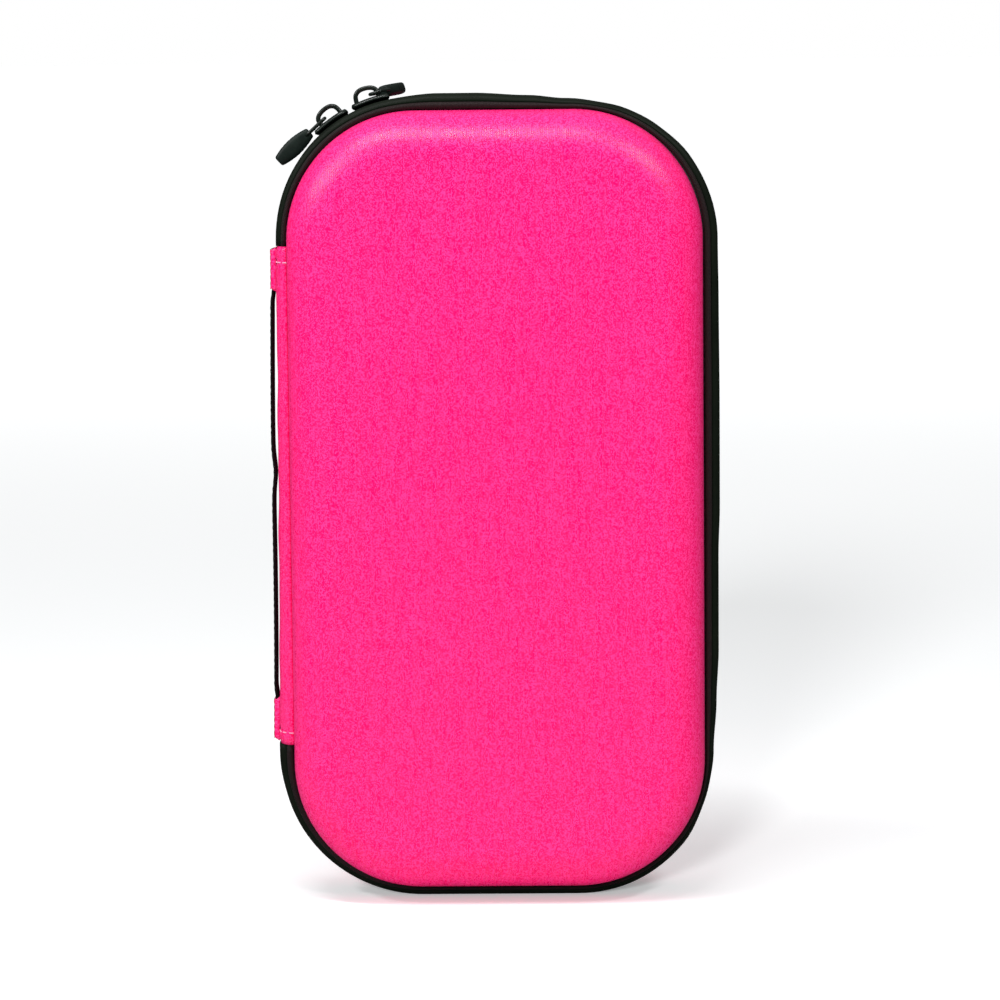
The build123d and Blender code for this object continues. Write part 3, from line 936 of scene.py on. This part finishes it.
def plate_sections():
    """The top plate: a shield that narrows to its nose, crowned, with rounded edges."""
    sections = []
    count = 26
    for row in range(count):
        share = row / (count - 1)
        along = -SLIDER_HALF + 2 * SLIDER_HALF * (0.5 - 0.5 * math.cos(math.pi * share))
        tail = max(0, (-along - 4.6) / 1.9)
        nose = max(0, (along - 3.0) / 3.5)
        wide = SLIDER_WIDE * (1 - 0.16 * tail ** 2) * math.sqrt(max(0.02, 1 - 0.72 * nose ** 2.2))
        wide *= 1 - 0.06 * math.exp(-(along / 2.5) ** 2)
        closing = max(0.12, min(1, (SLIDER_HALF - abs(along)) / 0.5)) ** 0.5
        top = PLATE_INNER + 0.8 + 1.2 * closing
        low_back = PLATE_INNER + 0.8 - 0.8 * closing
        section = []
        for across, high in (
            (-1.0, 0.9), (-1.0, 1.2), (-0.95, 1.6), (-0.82, 1.9), (-0.5, 2.05), (0.0, 2.1), (0.5, 2.05),
            (0.82, 1.9), (0.95, 1.6), (1.0, 1.2), (1.0, 0.3), (0.95, 0.05), (0.8, 0.0), (0.12, 0.0),
            (-0.05, 0.0), (-0.13, 0.8), (-0.8, 0.8), (-0.95, 0.82),
        ):
            if high >= 0.9:
                level = PLATE_INNER + 0.8 + (high - 0.8) * closing
            elif high >= 0.8:
                level = PLATE_INNER + high
            else:
                level = low_back + high * closing - 0.14 * closing * (across > 0.5)
            section.append(bent(along, across * wide, min(level, top + 0.2)))
        sections.append(section)
    return sections


def under_sections():
    """Wedge through the slit and plate under the base's coil, as one form."""
    low_outer = SHELL_CORNER + 1.2 - 0.4
    sections = []
    for row in range(15):
        along = -UNDER_HALF + 2 * UNDER_HALF * row / 14
        closing = max(0.25, min(1, (UNDER_HALF - abs(along)) / 0.8)) ** 0.5
        in_wedge = max(0.02, 1 - (abs(along) / WEDGE_HALF) ** 2) if abs(along) < WEDGE_HALF else 0.0
        wide = SLIDER_WIDE * closing
        top = low_outer + (PLATE_INNER + 0.3 - low_outer) * (1 if in_wedge else 0)
        half = 0.12 + 0.23 * in_wedge
        section = [
            bent(along, y, z)
            for y, z in (
                (-half, top), (half, top), (half, low_outer + 0.05), (wide - 0.3, low_outer),
                (wide, low_outer - 0.3), (wide, low_outer - 1.0), (wide - 0.3, low_outer - 1.3),
                (-0.2, low_outer - 1.3), (-0.35, low_outer - 0.9), (-half, low_outer - 0.3),
            )
        ]
        sections.append(section)
    return sections


def bar_sections(path, across, thick):
    """Rounded bar along a path in the x-z plane, wide in y."""
    sections = []
    count, power = 14, 2.6
    for index, (x, z) in enumerate(path):
        near, far = path[max(0, index - 1)], path[min(len(path) - 1, index + 1)]
        way = Vector((far[0] - near[0], far[1] - near[1])).normalized()
        section = []
        for i in range(count):
            angle = 2 * math.pi * i / count
            c, s = math.cos(angle), math.sin(angle)
            y = math.copysign(abs(c) ** (2 / power), c) * across
            lift = math.copysign(abs(s) ** (2 / power), s) * thick
            section.append((x - way.y * lift, y, z + way.x * lift))
        sections.append(section)
    return sections


def between(t, p, q, r, s):
    """A Catmull-Rom curve's value between q and r, the middle two of four in a row."""
    squared = (2 * p - 5 * q + 4 * r - s) * t ** 2
    cubed = (3 * q - p - 3 * r + s) * t ** 3
    return 0.5 * (2 * q + (r - p) * t + squared + cubed)


def smooth_path(knots):
    """A smooth curve through points, in six steps from each to the next."""
    path = []
    padded = [knots[0], *knots, knots[-1]]
    for four in zip(padded, padded[1:], padded[2:], padded[3:]):
        path += [tuple(between(i / 6, *values) for values in zip(*four)) for i in range(6)]
    path.append(knots[-1])
    return path


BRIDGE_KNOTS = [
    (4.55, PLATE_OUTER - 0.9), (4.45, PLATE_OUTER + 0.9), (4.0, PLATE_OUTER + 2.3), (2.8, PLATE_OUTER + 3.3),
    (1.1, PLATE_OUTER + 3.6), (-1.1, PLATE_OUTER + 3.35), (-2.6, PLATE_OUTER + 2.6),
    (-3.3, PLATE_OUTER + 1.4), (-3.2, PLATE_OUTER - 0.5),
]
slider_lacquer = lacquer_finish()
for side, angle, mirrored in (("left", LEFT_ANGLE, False), ("right", RIGHT_ANGLE, True)):
    body = side + "_slider"

    def move(point):
        return on_arc(point, angle, mirrored)

    plate = make_piece(body + "_plate", *loft(plate_sections(), move), slider_lacquer)
    under = make_piece(body + "_wedge", *loft(under_sections(), move), slider_lacquer)
    bridge_sections = bar_sections(smooth_path(BRIDGE_KNOTS), 1.1, 0.8)
    bridge = make_piece(body + "_arch", *loft(bridge_sections, move), slider_lacquer)
    for piece in (plate, under, bridge):
        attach(piece, body)
    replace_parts(plate, body + "_body")
    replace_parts(bridge, body + "_bridge")

# ---------------------------------------------------------------------------------------
# Pulls: a wire link through the bridge, and a barrel moulded over its far end.
# The link is lacquered steel wire. The barrel is a satin black rubber-like plastic with
# shallow grip rings, cut square at its tip.

WIRE_RADIUS = 0.6
LINK_HALF = 2.2
LINK_LENGTH = 8.5
BARREL_START, BARREL_LENGTH = 6.9, 14.6
BARREL_HALF_THICK, BARREL_SQUARE = 1.98, 3.2
GRIP_PITCH = 1.7
CROSSBAR_X = POST_X + math.hypot(1.5, 2.2) / 2 + 0.75
CROSSBAR_Z = PLATE_OUTER + 1.1


def hang(point, droop, swing):
    """Hang a pull's point in the bridge, drooping and swung about the bridge's tail post."""
    x, y, z = point
    droop, swing = math.radians(droop), math.radians(swing)
    hung_x = x * math.cos(droop) - z * math.sin(droop) + CROSSBAR_X
    hung_z = x * math.sin(droop) + z * math.cos(droop) + CROSSBAR_Z
    from_post = hung_x - POST_X
    return (
        POST_X + from_post * math.cos(swing) + y * math.sin(swing),
        y * math.cos(swing) - from_post * math.sin(swing),
        hung_z,
    )


def link_sections():
    """Round wire along a rounded loop. Its near bar is at the origin and its far end at -X."""
    corner = 1.2
    path = []
    for cx, cy, start in (
        (-corner, LINK_HALF - corner, 90), (-corner, corner - LINK_HALF, 0),
        (corner - LINK_LENGTH, corner - LINK_HALF, -90), (corner - LINK_LENGTH, LINK_HALF - corner, -180),
    ):
        for i in range(7):
            angle = math.radians(start - 15 * i)
            path.append((cx + corner * math.cos(angle), cy + corner * math.sin(angle)))
    sections = []
    for index, (x, y) in enumerate(path):
        near, far = path[index - 1], path[(index + 1) % len(path)]
        way = Vector((far[0] - near[0], far[1] - near[1])).normalized()
        section = []
        for i in range(10):
            c, q = math.cos(2 * math.pi * i / 10), math.sin(2 * math.pi * i / 10)
            section.append((x - way.y * WIRE_RADIUS * c, y + way.x * WIRE_RADIUS * c, WIRE_RADIUS * q))
        sections.append(section)
    return sections


def barrel_sections(upright):
    """The moulded barrel: flat sides, a full belly with shallow rings, and ends cut square."""
    sections = []
    belly = [1.2 + 12.4 * i / 42 for i in range(43)]
    stations = [0.0, 0.08, 0.25, 0.6, *belly, 14.0, 14.35, 14.52, BARREL_LENGTH]
    for along in stations:
        near, far = along, BARREL_LENGTH - along
        share = along / BARREL_LENGTH
        full = 1.75 + 0.1 * share + 1.2 * math.sin(math.pi * share) ** 0.9
        ends = min(1, 0.8 + 0.2 * math.sqrt(min(1, near / 0.3)), 0.8 + 0.2 * math.sqrt(min(1, far / 0.35)))
        rings = 0.07 * math.cos(2 * math.pi * along / GRIP_PITCH) if 3.5 < along < 11.5 else 0
        radius = full * ends - max(0, rings)
        section = []
        for i in range(32):
            c, q = math.cos(2 * math.pi * i / 32), math.sin(2 * math.pi * i / 32)
            flat = (abs(c) ** BARREL_SQUARE + abs(q) ** BARREL_SQUARE) ** (-1 / BARREL_SQUARE)
            broad, thin = radius * flat, min(radius, BARREL_HALF_THICK) * flat
            across, high = (thin, broad) if upright else (broad, thin)
            section.append((-BARREL_START - along, across * c, high * q))
        sections.append(section)
    return sections


def barrel_finish():
    finish = Finish("pull_moulding", Specular_IOR_Level=0.2)
    spot = finish.place()
    grain = finish.noise(spot, 1.6, 3.0, 0.6)
    scuffs = finish.noise(spot, 0.3, 3.0, 0.65)
    finish.colour(finish.blend(scuffs, (0.001, 0.002, 0.002), (0.011, 0.019, 0.015)))
    finish.rough(0.36 + scuffs * 0.24)
    finish.bump(grain, 0.08, 0.5)
    return finish.material


moulding = barrel_finish()
for side, angle, mirrored, droop, swing in (
    ("left", LEFT_ANGLE, False, 7.0, 0.0),
    ("right", RIGHT_ANGLE, True, 3.5, 68.0),
):
    body = side + "_pull"

    def move(point):
        return on_arc(hang(point, droop, swing), angle, mirrored)

    sections = link_sections()
    wire_points = [move(point) for section in sections for point in section]
    wire_faces = grid_faces(len(sections), len(sections[0]), close_rows=True, close_columns=True)
    wire = make_piece(body + "_wire", wire_points, wire_faces, slider_lacquer)
    barrel = make_piece(body + "_barrel", *loft(barrel_sections(side == "left"), move), moulding)
    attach(wire, body)
    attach(barrel, body)
    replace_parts(wire, side + "_slider_pull_link")
    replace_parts(barrel, side + "_slider_pull_tab")

# ---------------------------------------------------------------------------------------
# Mesh pocket across the lower part of the lid.
# The net is knitted polyester with open hexagon cells, held under the lining's edge.
# Its top is bound with flat ribbed elastic.


def net_finish():
    """Black net, drawn as threads round open cells that light passes through."""
    finish = Finish("pocket_net", Sheen_Weight=0.2, Specular_IOR_Level=0.3)
    spot = finish.place("Object", (1, 0, 0.8))
    sockets = {"Vector": spot, "Scale": 0.62, "Randomness": 0.25}
    cells = finish.node("ShaderNodeTexVoronoi", {"feature": "DISTANCE_TO_EDGE"}, sockets, "Distance")
    thread = 1 - cells.over(0.17)
    fuzz = finish.noise(finish.place(), 2.4, 2.0)
    finish.colour(finish.blend(fuzz, (0.012, 0.012, 0.013), (0.05, 0.05, 0.054)))
    finish.rough(0.55 + fuzz * 0.2)
    finish.feed("Alpha", thread)
    finish.bump(cells * -4.0, 0.3, 0.6)
    return finish.material


def elastic_finish():
    """Woven elastic with fine cords along it and a crosswise crimp."""
    finish = Finish("elastic_weave", Sheen_Weight=0.25, Specular_IOR_Level=0.3)
    across, _, up = finish.axes(finish.place())
    cords = (up * (2 * math.pi / 1.3)).sine()
    crimp = (across * (2 * math.pi / 0.6) + cords).sine()
    fuzz = finish.noise(finish.place(), 1.8, 3.0, 0.6)
    finish.colour(finish.blend(fuzz * 0.7 + crimp * 0.15, (0.012, 0.012, 0.013), (0.05, 0.05, 0.054)))
    finish.rough(0.6 + fuzz * 0.2)
    finish.bump(cords * 0.7 + crimp * 0.4 + fuzz * 0.5, 0.15, 0.7)
    return finish.material


elastic = elastic_finish()
dress("mesh_pocket_net", net_finish())
dress("mesh_pocket_hem", elastic)

# ---------------------------------------------------------------------------------------
# Elastic straps on the base's floor, which hold the folded tubing down.
# The upper one is in two halves that close with hook and loop; the lower one is one band.


def hook_finish():
    finish = Finish("hook_and_loop", Sheen_Weight=0.3, Specular_IOR_Level=0.3)
    spot = finish.place()
    sockets = {"Vector": spot, "Scale": 0.9, "Randomness": 0.35}
    hooks = finish.node("ShaderNodeTexVoronoi", {"feature": "F1"}, sockets, "Distance")
    finish.colour(finish.blend(hooks, (0.05, 0.05, 0.053), (0.008, 0.008, 0.009)))
    finish.rough(0.6 + hooks * 0.2)
    finish.bump(1 - hooks, 0.5, 0.8)
    return finish.material


hooks = hook_finish()
for node in ("elastic_strap_left", "elastic_strap_right", "elastic_band"):
    dress(node, elastic)
for node in ("strap_loop_patch", "strap_hook_patch"):
    dress(node, hooks)

# ---------------------------------------------------------------------------------------
# Floor, lights and camera.
# The floor is a wide sheet of white paper. Three soft strips and a broad sun light the case, and
# the world adds a pale dome. What gloss mirrors is a dark room, so that the black parts stay black.

FLOOR_HALF = 60.0
CAMERA_DISTANCE = 1.35
CAMERA_RAISED = math.radians(6.6)
CAMERA_ROUND = math.radians(1.04)
CAMERA_ROLL = math.radians(0.58)


def floor_finish():
    """Matt white paper. The camera sees it brighter than the case does, as an overexposed ground."""
    finish = Finish("white_paper", Specular_IOR_Level=0.0, Roughness=0.5, Emission_Strength=1.0)
    seen = finish.node("ShaderNodeLightPath", output="Is Camera Ray")
    mirrored = finish.node("ShaderNodeLightPath", output="Is Glossy Ray")
    paper = finish.blend(seen, (0.76, 0.77, 0.78), (0.93, 0.95, 0.96))
    # Glossy rays see the paper dark grey: a painted reflection, part of the dark room that gloss mirrors.
    finish.colour(finish.blend(mirrored, paper, (0.1, 0.1, 0.1)))
    # The glow that the camera sees is painted light. It is weaker near the case and in front of it, so that
    # the case's shadow shows darker there, and stronger further back, where the lamps fall off.
    _, deep, _ = finish.axes(finish.place())
    painted_glow = finish.blend(deep * 0.0006 - 0.2, (0.27, 0.27, 0.27), (0.57, 0.57, 0.57))
    finish.feed("Emission Color", finish.blend(seen, (0, 0, 0), painted_glow))
    return finish.material


floor_mesh = bpy.data.meshes.new("studio_floor")
floor_corners = [(FLOOR_HALF * x, FLOOR_HALF * y, 0) for x, y in ((-1, -1), (1, -1), (1, 1), (-1, 1))]
floor_mesh.from_pydata(floor_corners, [], [(0, 1, 2, 3)])
floor_mesh.materials.append(floor_finish())
add_object("studio_floor", floor_mesh)


def soft_light(name, place, target, wide, tall, power):
    lamp = bpy.data.lights.new(name, "AREA")
    lamp.shape = "RECTANGLE"
    lamp.size, lamp.size_y, lamp.energy = wide, tall, power
    light = add_object(name, lamp)
    light.location = place
    light.rotation_euler = (Vector(target) - Vector(place)).to_track_quat("-Z", "Y").to_euler()


soft_light("light_top", (-0.14, -0.25, 0.78), (0.0, 0.0, 0.26), 0.5, 0.06, 2.7)
soft_light("light_right", (0.42, -0.32, 0.66), (0.04, 0.0, 0.24), 0.3, 0.06, 1.5)
soft_light("light_left", (-0.52, -0.26, 0.56), (-0.04, 0.0, 0.22), 0.3, 0.08, 1.5)

sun = bpy.data.lights.new("light_key", "SUN")
sun.energy = 1.9
sun.angle = math.radians(9)
key = add_object("light_key", sun)
key.rotation_euler = Vector((0.17, 0.94, -0.3)).to_track_quat("-Z", "Y").to_euler()
key.visible_glossy = False

world = bpy.data.worlds.new("studio")
world.use_nodes = True
bpy.context.scene.world = world
tree = world.node_tree
background = tree.nodes["Background"]
background.inputs["Color"].default_value = (1, 1, 1, 1)
seen = add_node(tree, "ShaderNodeLightPath", output="Is Camera Ray")
mirrored = add_node(tree, "ShaderNodeLightPath", output="Is Glossy Ray")
way = add_node(tree, "ShaderNodeTexCoord", output="Generated")
raised = add_node(tree, "ShaderNodeSeparateXYZ", None, {0: way}, "Z")
raised = raised.math("MAXIMUM", raised, 0.0)
dome = raised * 0.24 + 0.14
dark_room = raised.math("POWER", raised, 2.0) * 0.45 + 0.03
put(tree, background.inputs["Strength"], seen + (1 - seen) * (mirrored * dark_room + (1 - mirrored) * dome))

back = Vector(
    (
        math.sin(CAMERA_ROUND) * math.cos(CAMERA_RAISED),
        -math.cos(CAMERA_ROUND) * math.cos(CAMERA_RAISED),
        math.sin(CAMERA_RAISED),
    )
)
right = Vector((math.cos(CAMERA_ROUND), math.sin(CAMERA_ROUND), 0))
up = back.cross(right)
rolled_up = up * math.cos(CAMERA_ROLL) + right * math.sin(CAMERA_ROLL)
rolled_right = right * math.cos(CAMERA_ROLL) - up * math.sin(CAMERA_ROLL)
camera_data = bpy.data.cameras.new("camera")
camera_data.sensor_width = 36
camera_data.lens = 141.57
camera_data.shift_x = 0.00236
camera_data.shift_y = -0.00276
camera = add_object("camera", camera_data)
place = Vector((SHELL_MIDDLE[0], 0, SHELL_MIDDLE[1])) * MM + back * CAMERA_DISTANCE
turn = Matrix((rolled_right, rolled_up, back)).transposed()
camera.matrix_world = Matrix.Translation(place) @ turn.to_4x4()
bpy.context.scene.camera = camera
bpy.context.scene.view_settings.view_transform = "Standard"
